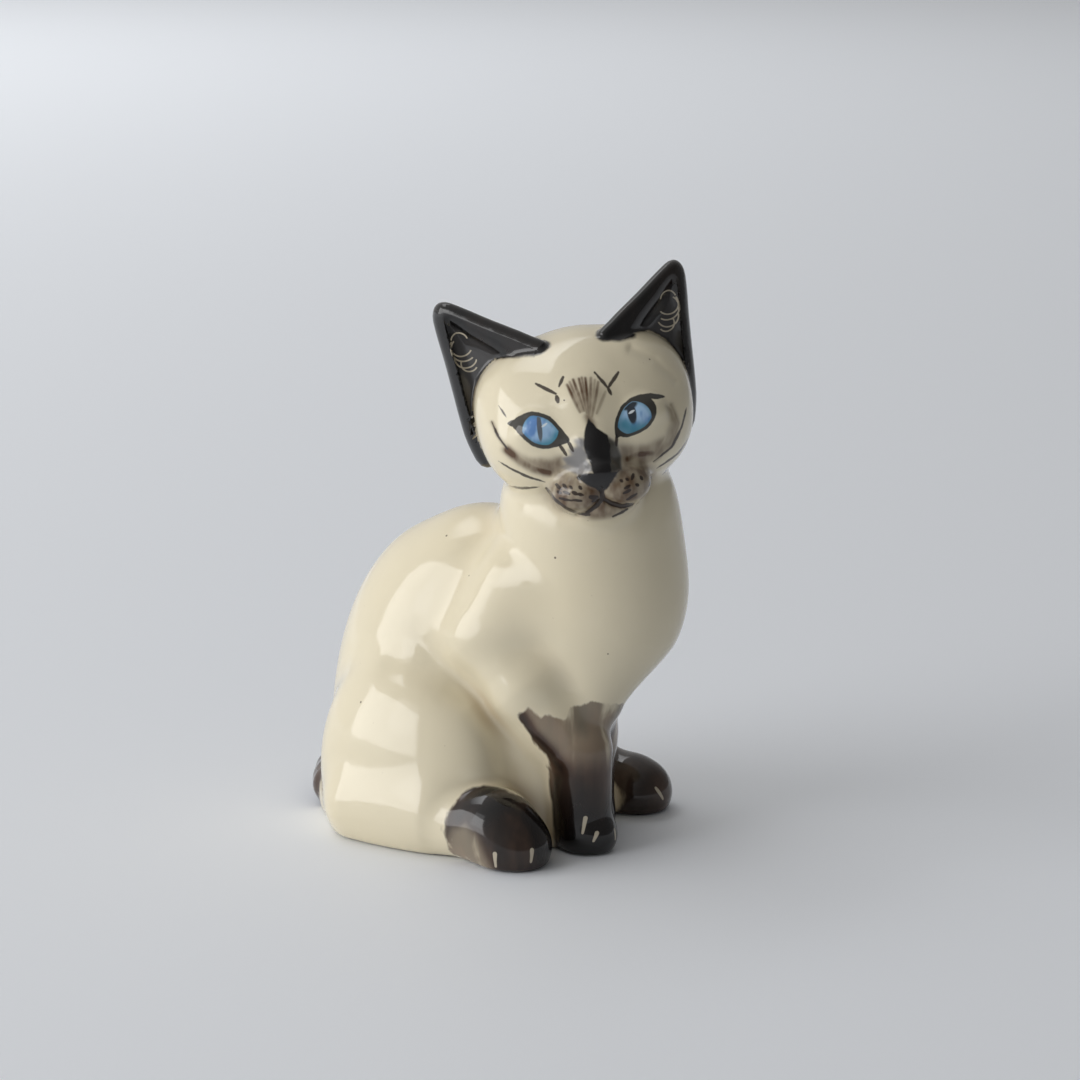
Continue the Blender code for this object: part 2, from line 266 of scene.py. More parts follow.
def ear(q, wide):
    """The cat's left ear, a rolled leaf with a hollow front; the right one is its mirror image."""
    x, y, z = widened(q[:, 0], wide), q[:, 1], q[:, 2]
    outline = flat_area(x, z, EAR_OUTLINE)
    leaf_plane = -9.5 + 0.544 * x + 0.01 * z
    across = 0.88 * (y - leaf_plane)
    rim = np.hypot(np.maximum(outline + EAR_EDGE, 0), across) - EAR_EDGE
    hollow = 3.1 * smooth_step(-flat_area(x, z, CUP_OUTLINE), -2.0, 3.6)
    dome = 3.2 * smooth_step(-outline, EAR_EDGE, 6.2)     # the convex back of the leaf
    inner = np.maximum(-across - EAR_EDGE + hollow, across - EAR_EDGE - dome) * 0.8
    return np.where(outline > -EAR_EDGE, rim, inner)


NEAR_MARGIN = 9.0       # more than the widest blend


def near(p, centre, radius, form):
    """A form worked out only around its own ball; farther off, the gap to the ball stands in for it."""
    out = length(p - np.array(centre, dtype=np.float32)) - radius
    close = out < NEAR_MARGIN
    if close.any():
        out[close] = form(p[close])
    return out


TAIL_LINE = ((-14, 34, 5.2, 5.5), (0, 41, 6, 6), (16, 39, 6.2, 6.2), (30, 28, 6.2, 6.2), (38, 13, 6, 6),
             (41, -2, 5.6, 5.6), (40, -11, 5.2, 5.2))


def eased(points, cuts=3):
    """Points along a smooth curve through an open line of points."""
    line = np.array((points[0],) + tuple(points) + (points[-1],), dtype=float)
    out = []
    for a, b, c, d in zip(line, line[1:], line[2:], line[3:]):
        for t in np.arange(cuts) / cuts:
            out.append(tuple(float(v) for v in curve_point(a, b, c, d, t)))
    return out + [points[-1]]


TAIL_BALLS = eased(TAIL_LINE)


def tail(p):
    return limb(p, *TAIL_BALLS)


def forms(p):
    """Distances to the skin without ears and tail, to each ear, and to the tail."""
    out = trunk(p)
    for side, foot in ((-1, RIGHT_FOOT), (1, LEFT_FOOT)):
        leg = near(p, (11 * side, -28, 36), 58,
                   lambda c: smooth_min(arm(c, side), foreleg(c, foot, side), 2))
        ease = smooth_step(p[:, 2], 36, 58) - smooth_step(p[:, 2], 68, 80)
        out = smooth_min(out, leg, 3 + 5 * ease)
        out = smooth_min(out, near(p, (28 * side, -27, 6), 24, lambda c: paw(c, side)), 2.5)
    mirrored = np.abs(p) * np.array((1, 0, 0), np.float32) + p * np.array((0, 1, 1), np.float32)
    out = out + near_grooves(mirrored)
    q = to_head(p)
    out = smooth_min(out, near(q, (0, -1, -1), 32, head), 3)
    flipped = q * np.array((-1, 1, 1), dtype=np.float32)
    ears = [near(c, (20, 5, 14), 26, lambda d: ear(d, wide)) for c, wide in ((q, -0.7), (flipped, 0.8))]
    return out, ears[0], ears[1], near(p, (14, 20, 6), 42, tail)


def near_grooves(mirrored):
    """The hollows behind the shoulder and round the thigh."""
    out = np.zeros(len(mirrored), dtype=np.float32)
    close = length(mirrored - np.array((24, -10, 48), dtype=np.float32)) < 42
    p = mirrored[close]
    out[close] = 1.3 * groove(p, SHOULDER_LINE, 7.0) + 1.0 * groove(p, THIGH_LINE, 4.5)
    return out


HOLE_BACK = 16          # the pour hole in the flat base
HOLE_RADIUS = 5
HOLE_DEPTH = 9


def skin(p):
    """Signed distance to the whole glazed surface."""
    p = np.asarray(p, dtype=np.float32)
    out, left, right, tail_part = forms(p)
    out = smooth_min(out, np.minimum(left, right), 1.2)
    out = smooth_min(out, tail_part, 0.8)
    out = smooth_max(out, -p[:, 2], 1.2)
    hole = np.hypot(p[:, 0], p[:, 1] - HOLE_BACK) - HOLE_RADIUS
    hole = np.maximum(hole, p[:, 2] - HOLE_DEPTH)
    return smooth_max(out, -hole, 0.8)


TETRA = np.array(((1, -1, -1), (-1, -1, 1), (-1, 1, -1), (1, 1, 1)), dtype=np.float32)


def slope(p, reach=0.08):
    """Gradient of the distance, from four points round each one."""
    total = np.zeros_like(p)
    for corner in TETRA:
        total += corner * skin(p + corner * reach)[:, None]
    return total / (4 * reach)


def onto_skin(p, rounds=3):
    """Points moved onto the surface along the gradient."""
    p = np.array(p, dtype=np.float32)
    for _ in range(rounds):
        gradient = slope(p)
        size = np.maximum(np.einsum("ij,ij->i", gradient, gradient), 0.2)
        move = np.clip(skin(p) / size, -0.5, 0.5)
        p -= move[:, None] * gradient
    return p


def normals_at(p):
    gradient = slope(p)
    return gradient / np.maximum(length(gradient), 1e-6)[:, None]


# ---- from the distance field to meshes ----

def field_on_grid(low, high, step):
    """Values of the skin on a grid; exact only near the surface, where it matters."""
    coarse_step = step * 4
    count = np.ceil((high - low) / coarse_step).astype(int)
    axes = [low[i] + coarse_step * (np.arange(count[i]) + 0.5) for i in range(3)]
    middle = np.stack(np.meshgrid(*axes, indexing="ij"), axis=-1).reshape(-1, 3)
    rough = skin(middle).reshape(count)
    values = rough.repeat(4, 0).repeat(4, 1).repeat(4, 2)
    index = np.argwhere(np.abs(values) < coarse_step * 1.3)
    for start in range(0, len(index), 400000):
        part = index[start:start + 400000]
        values[tuple(part.T)] = skin(low + (part + 0.5) * step)
    return values


def surface_net(values, low, step):
    """A mesh of four-sided faces: one vertex in each grid cell that the surface crosses."""
    inside = values < 0
    cells, places, quads = [], [], []
    for axis in range(3):
        first = tuple(slice(None, -1) if i == axis else slice(1, None) for i in range(3))
        second = tuple(slice(1, None) for i in range(3))
        crossing = np.argwhere(inside[first] != inside[second])
        node = crossing + np.array([0 if i == axis else 1 for i in range(3)])
        ahead = node.copy()
        ahead[:, axis] += 1
        a = values[tuple(node.T)]
        b = values[tuple(ahead.T)]
        spot = node.astype(np.float64)
        spot[:, axis] += a / (a - b)
        u, v = (axis + 1) % 3, (axis + 2) % 3
        ring = []
        for du, dv in ((0, 0), (1, 0), (1, 1), (0, 1)):
            cell = node.copy()
            cell[:, u] -= du
            cell[:, v] -= dv
            ring.append(np.ravel_multi_index(tuple(cell.T), values.shape))
        ring = np.stack(ring, axis=1)
        flip = ~inside[tuple(node.T)]
        ring[flip] = ring[flip][:, ::-1]
        quads.append(ring)
        cells.append(ring.reshape(-1))
        places.append(spot.repeat(4, 0))
    cells = np.concatenate(cells)
    places = np.concatenate(places)
    index = np.unique(cells, return_inverse=True)[1]
    index = index.reshape(-1)
    count = np.bincount(index)
    verts = np.stack([np.bincount(index, places[:, i]) / count for i in range(3)], axis=1)
    return low + (verts + 0.5) * step, index.reshape(-1, 4)


def region_of(middles):
    """Which casting each point of the skin belongs to."""
    p = middles.astype(np.float32)
    rest, left, right, tail_part = forms(p)
    out = np.full(len(p), "body", dtype=object)
    turn = Matrix.Rotation(math.radians(HEAD_TURN[2]), 3, "Z")
    turn = turn @ Matrix.Rotation(math.radians(NECK_SLOPE), 3, "X")
    up = np.array(turn @ Vector((0, 0, 1)))
    out[(p - NECK_AT) @ up > 0] = "head"
    for word, side in (("right", -1), ("left", 1)):
        back = -35.5 if side < 0 else -31.0
        across = (p[:, 0] - (RIGHT_FOOT[0] + LEFT_FOOT[0]) / 2) * side
        out[(across > 0) & (across < 15.2) & (p[:, 1] < back) & (p[:, 2] < 33)] = word + "_foreleg"
        lean = math.radians(32)
        behind = (p[:, 1] + 9) * math.cos(lean) + p[:, 2] * math.sin(lean)
        out[(p[:, 0] * side > 21.5) & (behind < 0) & (p[:, 2] < 30)] = word + "_hind_paw"
    out[tail_part < rest] = "tail"
    out[left < rest] = "left_ear"
    out[right < rest] = "right_ear"
    return out


RIM_DEPTH = 1.5         # how far each casting's rim turns in behind its seam


def close_rims(form):
    """Turn each open rim in behind its seam and cap it."""
    rims = [e.link_loops[0] for e in form.edges if e.is_boundary]
    if not rims:
        return
    ends = list(dict.fromkeys(v for corner in rims for v in corner.edge.verts))
    places = np.array([v.co[:] for v in ends], dtype=np.float32)
    sunk = {}
    for vert, place in zip(ends, places - RIM_DEPTH * normals_at(places)):
        sunk[vert] = form.verts.new(place)
    for corner in rims:
        a, b = corner.vert, corner.link_loop_next.vert
        form.faces.new((b, a, sunk[a], sunk[b]))
    inner = [e for e in form.edges if e.is_boundary]
    made = bmesh.ops.holes_fill(form, edges=inner, sides=0)
    bmesh.ops.poke(form, faces=made["faces"], center_mode="MEAN")


def piece_mesh(name, verts, quads, finer, face_area):
    """One casting: its part of the skin, refined where it carries fine paint, and closed inside."""
    used, index = np.unique(quads.reshape(-1), return_inverse=True)
    faces = index.reshape(-1, 4)
    mesh = bpy.data.meshes.new(name)
    mesh.from_pydata(verts[used].tolist(), [], faces.tolist())
    form = bmesh.new()
    form.from_mesh(mesh)
    for _ in range(finer):
        bmesh.ops.subdivide_edges(form, edges=form.edges, cuts=1, use_grid_fill=True)
    if face_area:
        chosen = dict.fromkeys(e for f in form.faces if on_face(f.calc_center_median()) for e in f.edges)
        bmesh.ops.subdivide_edges(form, edges=list(chosen), cuts=1, use_grid_fill=True)
    form.verts.ensure_lookup_table()
    rim = np.array([v.is_boundary for v in form.verts])
    places = np.array([v.co[:] for v in form.verts])
    places[~rim] = onto_skin(places[~rim], 2)
    skin_normals = normals_at(places.astype(np.float32))
    for vert, place in zip(form.verts, places):
        vert.co = place
    close_rims(form)
    bmesh.ops.triangulate(form, faces=[f for f in form.faces if len(f.verts) > 4])
    inner = len(form.verts) - len(skin_normals)
    form.to_mesh(mesh)
    form.free()
    return mesh, np.concatenate((skin_normals, np.tile((0, 0, 1), (inner, 1))))


FINER = {"body": 0, "head": 1, "left_ear": 2, "right_ear": 2, "tail": 1, "left_foreleg": 1,
         "right_foreleg": 1, "left_hind_paw": 1, "right_hind_paw": 1}


def on_face(middle):
    """Whether a spot carries the painted face, which needs a finer mesh."""
    q = to_head(np.array(middle, dtype=np.float32)[None, :])[0]
    return q[1] < -6 and abs(q[0]) < 23 and -24 < q[2] < 14


def build_skin():
    """One glazed mesh for each casting of the frame."""
    low = np.array(CAD_BOX[0]) / MM - 3
    high = np.array(CAD_BOX[1]) / MM + 3
    values = field_on_grid(low, high, STEP)
    verts, quads = surface_net(values, low, STEP)
    verts = onto_skin(verts, 3)
    middles = verts[quads].mean(axis=1)
    owner = region_of(middles)
    pieces = {}
    for name in sorted(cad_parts):
        mine = quads[owner == name]
        mesh, skin_normals = piece_mesh(name, verts, mine, FINER[name], name == "head")
        mesh.transform(Matrix.Diagonal((MM, MM, MM, 1)))
        mesh.shade_smooth()
        mesh.normals_split_custom_set_from_vertices(skin_normals.tolist())
        paint(mesh, name, skin_normals)
        obj = bpy.data.objects.new("glazed_" + name, mesh)
        bpy.context.scene.collection.objects.link(obj)
        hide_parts(name)
        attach(obj, "root")
        pieces[name] = obj
    return pieces


# ---- the painted decoration ----
# Strokes are (width, (x, z), (x, z), ...) across the face, seen from in front, in millimetres.

EYE_OUTLINES = (
    rounded(((-18.6, 4.3), (-16.0, 5.9), (-12.7, 6.5), (-9.1, 4.8), (-6.9, 1.6), (-5.5, -1.3), (-7.6, -2.2),
             (-11.2, -2.6), (-14.2, -1.5), (-16.3, 0.7), (-17.6, 2.9))),
    rounded(((5.4, -2.7), (5.8, 0.8), (8.3, 4.4), (12.2, 5.9), (14.9, 5.1), (16.2, 2.9), (15.8, 0.4),
             (13.1, -2.3), (8.8, -3.3), (6.6, -2.7))),
)
FAN = (                  # (strength, (x, z) at the top and at the bottom)
    (0.85, (-3.6, 11.2), (-1.9, 4.9)), (0.65, (-2.9, 11.7), (-1.4, 5.0)),
    (0.85, (-2.0, 12.1), (-0.9, 5.0)), (0.80, (-0.6, 12.1), (-0.4, 4.3)),
    (0.65, (0.1, 12.2), (-0.2, 4.2)), (0.85, (0.9, 12.0), (-0.1, 3.8)), (0.75, (2.2, 11.8), (0.0, 3.4)),
    (0.50, (3.0, 11.2), (0.4, 3.3)), (0.70, (3.7, 10.6), (0.6, 3.3)), (0.50, (4.9, 8.2), (1.9, 3.9)),
)
BROWS = (
    (0.36, (-10.8, 12.4), (-6.7, 9.7)), (0.36, (-4.2, 13.0), (-5.6, 11.2)),
    (0.52, (-6.6, 9.0), (-6.6, 7.9)), (0.22, (-5.1, 8.0), (-5.0, 8.0)), (0.36, (3.4, 12.8), (5.7, 9.0)),
    (0.42, (9.0, 11.7), (5.8, 8.9)), (0.42, (5.8, 8.9), (6.2, 7.3)),
)
WHISKERS = (
    (0.34, (-22.9, -4.6), (-19.8, -7.0), (-16.2, -9.3), (-12.9, -10.9)),
    (0.38, (-21.5, -11.9), (-18.6, -12.3), (-14.3, -12.1)),
    (0.26, (-22.8, 5.0), (-21.9, 1.4), (-20.2, -1.9)),
    (0.34, (24.1, -0.2), (21.9, -4.3), (18.6, -8.4), (13.5, -10.9)),
    (0.36, (23.4, -8.2), (20.2, -10.9), (14.2, -13.0)),
    (0.34, (20.5, -13.2), (15.4, -15.8)),
    (0.55, (12.7, -15.0), (11.2, -15.9)),
    (0.22, (-20.5, 8.6), (-19.2, 5.8)),
)
MUZZLE_LINES = (
    (0.66, (-0.1, -14.2), (-0.3, -16.3), (-2.0, -17.7), (-4.4, -19.3)),
    (0.66, (-0.3, -16.3), (1.7, -18.0), (3.9, -19.2), (6.6, -19.5)),
    (0.42, (-12.8, -12.6), (-11.7, -14.6), (-9.1, -17.2), (-6.2, -19.4), (-4.0, -19.9)),
    (0.34, (1.5, -21.3), (5.2, -20.4)),
    (0.55, (-3.2, -15.2), (-1.6, -15.6)), (0.40, (-2.8, -16.4), (-1.6, -16.5)),
)
SPOTS = (                # short dashes on the whisker pads
    (0.46, (-10.4, -11.5), (-9.7, -12.4)), (0.44, (-8.9, -11.5), (-8.5, -12.2)),
    (0.38, (-7.4, -12.0), (-7.1, -12.4)), (0.38, (-5.3, -12.3), (-5.0, -12.8)),
    (0.44, (-10.4, -13.0), (-9.9, -13.2)), (0.46, (-9.1, -13.0), (-8.0, -13.6)),
    (0.44, (-7.0, -13.4), (-6.2, -13.9)), (0.44, (-5.8, -14.0), (-4.8, -14.4)),
    (0.30, (-10.3, -14.5), (-7.6, -15.3)), (0.34, (-7.4, -15.2), (-5.4, -15.7)),
    (0.40, (4.6, -12.6), (4.9, -12.9)), (0.40, (6.0, -12.5), (6.4, -12.9)),
    (0.42, (7.8, -12.0), (7.3, -12.9)), (0.42, (9.5, -12.9), (9.8, -13.6)),
    (0.38, (5.3, -14.6), (6.5, -14.2)), (0.40, (8.1, -14.3), (8.6, -14.7)),
    (0.34, (4.7, -15.8), (6.4, -15.3)), (0.34, (5.3, -17.6), (7.8, -16.6)),
)
TEARS = (
    (0.46, (-8.0, -2.2), (-6.9, -4.8)), (0.42, (-6.0, -1.4), (-5.2, -4.0)),
    (0.36, (5.6, -2.2), (5.2, -4.5)),
)
FLICKS = (
    (0.75, (-16.8, 4.2), (-19.0, 4.3)), (0.60, (12.8, 5.5), (15.6, 5.0), (18.8, 3.9)),
)
BRIDGE = ((-0.3, 3.2), (1.3, 0.6), (3.6, -1.7), (3.7, -4.2), (3.3, -6.6), (2.6, -10.2), (-1.6, -10.2),
          (-1.7, -8.0), (-2.5, -4.8), (-2.3, -1.3), (-1.4, 0.8))
LEATHER = ((-5.7, -10.2), (-3.8, -9.2), (-0.8, -9.6), (4.7, -10.3), (2.9, -12.2), (-0.1, -15.2),
           (-1.8, -13.4), (-3.9, -11.7))
# the two side planes of the nose bridge: a painted grey reflection on the lit plane, painted shade on the
# far plane
BRIDGE_SHEEN_AND_SHADE = (
    ((-2.0, -0.9), (-1.9, -5.0), (-1.3, -9.4), (-4.6, -9.8), (-8.0, -7.5), (-7.5, -5.5), (-5.3, -3.5),
     (-3.4, -0.7)),
    ((3.0, -1.3), (5.4, -3.8), (6.0, -7.4), (5.4, -10.4), (1.6, -10.4)),
)
WASH_AREAS = (           # (strength, softness, outline)
    (0.68, 0.4, ((-20.6, -1.0), (-18.9, -1.9), (-15.8, -4.3), (-10.8, -5.0), (-8.0, -4.8), (-7.8, -7.5),
                 (-9.0, -9.6), (-12.3, -9.3), (-14.9, -8.1), (-17.6, -5.7), (-20.3, -2.4))),
    (0.62, 0.35, ((18.8, 1.8), (20.6, 1.0), (21.4, -3.2), (18.9, -8.0), (14.0, -11.0), (13.0, -9.0),
                 (17.0, -6.0), (19.2, -2.5))),
    (0.64, 0.4, ((5.7, -4.6), (12.4, -6.2), (17.5, -5.2), (15.0, -10.0), (9.2, -12.2), (5.6, -10.4))),
    (0.26, 0.4, ((-3.9, 11.2), (-1.8, 12.3), (2.4, 12.1), (5.0, 8.4), (2.2, 3.6), (-0.2, 2.6),
                 (-2.0, 4.8))),
)
WASHES = (               # (strength, half width, softness, path)
    (1.00, 1.0, 0.30, ((-20.4, -1.9), (-17.7, -4.9), (-14.9, -7.2), (-11.6, -8.6))),
    (0.80, 0.30, 0.16, ((-22.7, 4.7), (-21.9, 1.4), (-20.3, -1.9))),
    (0.95, 1.0, 0.30, ((7.4, -8.5), (10.0, -8.0), (13.4, -8.6))),
    (0.70, 0.4, 0.25, ((20.2, 1.6), (21.2, -3.2), (18.7, -7.9), (13.8, -10.8))),
    (0.60, 1.8, 0.6, ((-9.6, -8.6), (-8.0, -10.8))),
    (0.62, 1.8, 0.6, ((9.4, -10.2), (6.6, -11.2))),
    (0.92, 0.8, 0.3, ((-0.3, 3.6), (0.2, 1.2))),
)
EAR_FEET = ((1.15, (-16.5, 20.6), (-7.8, 20.9)), (1.25, (7.2, 20.1), (15.0, 18.6)))
BROW_FOLD = ((13.5, 15.8), (18.5, 12.2), (22.5, 6.5))


def brushed(x, z, strokes, taper=0.5):
    """Signed distance to brush strokes that thin out toward their ends."""
    best = np.full(len(x), 1e3, dtype=np.float32)
    for width, *points in strokes:
        count = len(points) - 1
        for i, (a, b) in enumerate(zip(points, points[1:])):
            dx, dz = b[0] - a[0], b[1] - a[1]
            h = np.clip(((x - a[0]) * dx + (z - a[1]) * dz) / max(dx * dx + dz * dz, 1e-6), 0, 1)
            along = np.abs((i + h) / count * 2 - 1)
            reach = width * (1 - taper * along ** 2)
            best = np.minimum(best, np.hypot(x - a[0] - h * dx, z - a[1] - h * dz) - reach)
    return best


def blur(value, width):
    """1 well inside a signed distance, 0 well outside, soft over the width."""
    return 1 / (1 + np.exp(np.clip(value / width, -30, 30)))


def face_paint(p):
    """Masks for the paint on the head, by name, for points in the row frame."""
    q = to_head(p.astype(np.float32))
    x, y, z = q.T
    front = blur(y + 4, 1.0)
    out = {}
    eyes = np.minimum(flat_area(x, z, EYE_OUTLINES[0]), flat_area(x, z, EYE_OUTLINES[1]))
    liner = np.minimum(eyes, brushed(x, z, FLICKS, 0.6))
    side = np.where(x > 0, 1.0, -1.0)
    right_iris = np.hypot((x + 11.9) / 4.3, (z - 2.0) / 3.9)
    left_iris = np.hypot((x - 10.4) / 4.4, (z - 0.9) / 3.9)
    iris = np.maximum((np.where(x > 0, left_iris, right_iris) - 1) * 4, eyes + np.where(x > 0, 0.75, 0.9))
    slit = np.hypot((x + 12.0 - 0.09 * (z - 2.5)) / 0.62, (z - 2.6) / 3.3) - 1
    wedge = np.hypot((x - 10.2) / 1.1, (z - 2.2) / 2.7) - 1
    wedge = np.minimum(wedge, np.hypot((x - 9.7) / 2.4, (z - 4.6) / 1.7) - 1)
    pupil = np.where(x > 0, wedge, slit)
    glint = brushed(x, z, ((0.26, (-11.4, 2.8), (-10.1, 3.4)), (0.30, (9.5, 2.2), (10.9, 2.7))), 0.6)
    out["liner"] = np.where(front > 0.5, liner, 5)
    out["iris"] = np.where(front > 0.5, iris, 5)
    out["pupil"] = np.where(front > 0.5, pupil, 5)
    out["grey_pupil"] = blur(x, 0.5)
    out["glint"] = np.where(front > 0.5, glint, 5)
    deep = blur(flat_path(x * side, z, ((12.0, -2.0), (9.5, -1.6), (8.0, -0.2))) - 1.5, 0.4)
    out["teal"] = deep
    lines = np.minimum(brushed(x, z, BROWS, 0.35), brushed(x, z, WHISKERS, 0.8))
    lines = np.minimum(lines, brushed(x, z, TEARS, 0.4))
    lines = np.minimum(lines, brushed(x, z, MUZZLE_LINES, 0.25))
    lines = np.minimum(lines, brushed(x, z, SPOTS, 0.3))
    out["line"] = np.where(front > 0.5, lines, 5)
    bridge = flat_area(x, z, BRIDGE)
    nose = np.minimum(bridge, flat_area(x, z, LEATHER))
    out["black"] = np.where(front > 0.5, nose, 5)
    # painted reflection on the lit side of the bridge, painted shade on its far side
    shade = flat_area(x, z, BRIDGE_SHEEN_AND_SHADE[1])
    uneven = flat_area(x, z, BRIDGE_SHEEN_AND_SHADE[0]) + 0.4 * np.sin(2.3 * z + x)
    out["bridge_sheen_and_shade"] = np.maximum(blur(uneven, 0.25), blur(shade, 0.15)) * front
    out["shade"] = blur(shade, 0.2) * front
    wash = np.zeros(len(x), dtype=np.float32)
    for strength, soft, outline in WASH_AREAS:
        wash = np.maximum(wash, strength * blur(flat_area(x, z, outline), soft))
    for strength, reach, soft, path in WASHES:
        wash = np.maximum(wash, strength * blur(flat_path(x, z, path) - reach, soft))
    right_pad = np.hypot((x + 6.3) / 6.8, (z + 14.4) / 4.9)
    left_pad = np.hypot((x - 6.8) / 6.6, (z + 14.2) / 5.0)
    pads = np.minimum(right_pad, left_pad) - 1
    pads = np.minimum(pads, np.hypot(x / 6.5, (z + 18.2) / 3.4) - 1)
    wash = np.maximum(wash, 0.80 * blur(pads * 5, 0.6))
    for strength, top, bottom in FAN:
        stroke = brushed(x, z, ((0.46, top, bottom),), 0.25)
        wash = np.maximum(wash, strength * blur(stroke, 0.10))
    out["wash"] = wash * front
    return out


DARK_STROKES = (         # (radius, points): where the paint was laid on thickly
    (1.7, (-23.6, -31.2, 35.8), (-21.6, -33.2, 31.2), (-19.8, -36.6, 27.0), (-18.0, -39.0, 23.0)),
    (1.2, (-17.6, -38.0, 19.5), (-15.8, -36.2, 13.8), (-15.6, -36.4, 8.0)),
    (3.4, (1.5, -41.5, 29.5), (-3.0, -46.5, 25.0), (-4.0, -48.5, 17.0), (-7.5, -48.5, 8.0)),
    (3.6, (-16.0, -42.0, 3.5), (-10.0, -49.0, 3.0)),
    (1.9, (-38.0, -23.0, 12.6), (-34.5, -26.5, 16.6), (-28.5, -27.5, 18.0), (-23.0, -28.0, 17.6)),
    (2.7, (-37.2, -28.5, 13.0), (-34.8, -31.0, 15.0), (-31.0, -33.5, 15.8)),
    (3.4, (-29.0, -38.0, 12.5), (-30.0, -42.0, 6.0), (-27.0, -43.0, 3.0)),
    (3.0, (5.0, -40.0, 6.0), (3.0, -40.5, 3.0)),
)


def leg_paint(p):
    """Signed distances to the paint on the forelegs and on the hind paws."""
    right_leg = limb(p, (-22.3, -32.5, 35.6, 2.4), (-18.8, -37.5, 30.5, 4.4), (-13.0, -41.5, 26.0, 7.8),
                     (-9.3, -42.0, 17, 9.4), (-9.3, -43.5, 0, 9.4))
    right_leg = smooth_min(right_leg, ellipsoid(p, (-9, -44, 29), (13, 9, 10.5)), 1.5)
    left_leg = limb(p, (8, -27, 34, 4.0), (5, -34, 26, 8.5), (3.5, -35.5, 0, 9.4))
    outer = limb(p, (-33, -28, 9, 10.5), (-30, -34, 5, 12.0))
    paws = np.maximum(outer, p[:, 0] + 20.3)
    far = limb(p, (28, -27, 9, 9.5), (27, -34, 5, 12.0))
    return np.minimum(right_leg, left_leg), np.minimum(paws, np.maximum(far, 18.0 - p[:, 0]))


def coat_paint(p, name):
    """Signed distance to the seal-brown paint on ears, paws and tail, how thinly it is laid on, the painted
    grey sheen in the ear cups, and the claws and scratches.
    """
    p = p.astype(np.float32)
    q = to_head(p)
    _, left, right, tail_part = forms(p)
    ears = np.minimum(left, right) - np.where(q[:, 1] < 0, 0.9, 0.5)
    feet = brushed(q[:, 0], q[:, 2], EAR_FEET, 0.5)
    ears = np.minimum(ears, np.where((q[:, 1] < 3) & (q[:, 2] > 12), feet, 5))
    if name.endswith("ear"):
        ears = np.full(len(p), -2.0, dtype=np.float32)
    legs, paws = leg_paint(p)
    rear = tail_part - 0.8
    if name == "tail":
        rear = np.full(len(p), -2.0, dtype=np.float32)
    coat = np.minimum(np.minimum(ears, rear), np.minimum(legs, paws))
    height = smooth_step(p[:, 2], 4, 33)
    thin = (0.08 + 0.72 * height ** 1.8) * (legs < 2.5)
    sole = np.hypot(p[:, 0] + 38.5, (p[:, 1] + 25.0) * 0.8) - 5.4
    thin = np.maximum(thin, 0.85 * blur(sole + 0.35 * (p[:, 2] - 5), 1.3) * (paws < 2))
    heel = blur(np.abs(p[:, 1] + 18) - 2.0, 1.0) * (p[:, 0] < -30)
    thin = np.maximum(thin, 0.9 * heel * (paws < 2))
    thin = np.maximum(thin, 0.20 * (paws < 2))
    thin = np.maximum(thin, 0.30 * (tail_part < 2.5))
    for radius, *points in DARK_STROKES:
        thin = thin * (1 - 0.95 * blur(path_distance(p, points) - radius, 0.7))
    if name.endswith("ear"):
        wide = -0.7 if name == "left_ear" else 0.8
        inside = -flat_area(widened(np.abs(q[:, 0]), wide), q[:, 2], CUP_OUTLINE)
        thin = np.zeros(len(p))
        # a painted grey sheen in the hollow of each ear cup
        cup_sheen = smooth_step(inside, 0.2, 1.6) * (q[:, 1] < 6.5)
    else:
        cup_sheen = np.zeros(len(p))
    claws = np.full(len(p), 5.0, dtype=np.float32)
    for a, b in CLAWS:
        claws = np.minimum(claws, cone(p, (*a, 0.55), (*b, 0.3)))
    scratches = ear_scratches(q)
    return coat, thin, cup_sheen, np.minimum(claws, scratches)


CLAWS = (
    ((-15.1, -45.0, 10.0), (-15.9, -44.7, 6.3)), ((-13.7, -47.5, 6.2), (-14.5, -47.0, 4.3)),
    ((-38.3, -33.9, 5.0), (-37.6, -33.7, 1.5)), ((-33.1, -41.3, 5.9), (-33.3, -41.1, 2.9)),
    ((23.5, -41.6, 7.5), (25.5, -42.5, 4.0)), ((-8.0, -49.5, 7.0), (-8.3, -49.4, 3.5)),
    ((-25.0, -42.5, 6.0), (-25.0, -42.5, 3.0)), ((31.5, -42.5, 6.0), (31.6, -42.3, 3.0)),
)
SCRATCH_ARCS = (         # centre across and up, radius, from and to angle
    (24.6, 23.5, 2.6, -2.6, 0.6), (24.2, 22.6, 3.0, -2.3, 0.9), (24.0, 20.6, 2.7, -2.8, 0.2),
    (23.4, 18.9, 2.0, -2.6, 0.5), (24.8, 24.8, 2.0, 0.2, 3.0),
)


def ear_scratches(q):
    """Fine arcs scratched through the paint inside each ear."""
    x, y, z = q.T
    ax = np.abs(x) - np.where(x < 0, 2.0, 0.4)
    up = z + np.where(x < 0, 1.0, 0.0)
    out = np.full(len(x), 5.0, dtype=np.float32)
    for cx, cz, radius, start, end in SCRATCH_ARCS:
        angle = np.arctan2(up - cz, ax - cx)
        ring = np.abs(np.hypot(ax - cx, up - cz) - radius) - 0.15
        out = np.minimum(out, np.where((angle > start) & (angle < end), ring, 5.0))
    return np.where(y < 6.5, out, 5.0)


def crease(p, normals):
    """How hollow the surface is, 0 on flat and full forms, 1 in a tight crease."""
    reach = 3.0
    lifted = skin(p.astype(np.float32) + reach * normals.astype(np.float32))
    return np.clip((reach - lifted) / reach * 1.6, 0, 1)


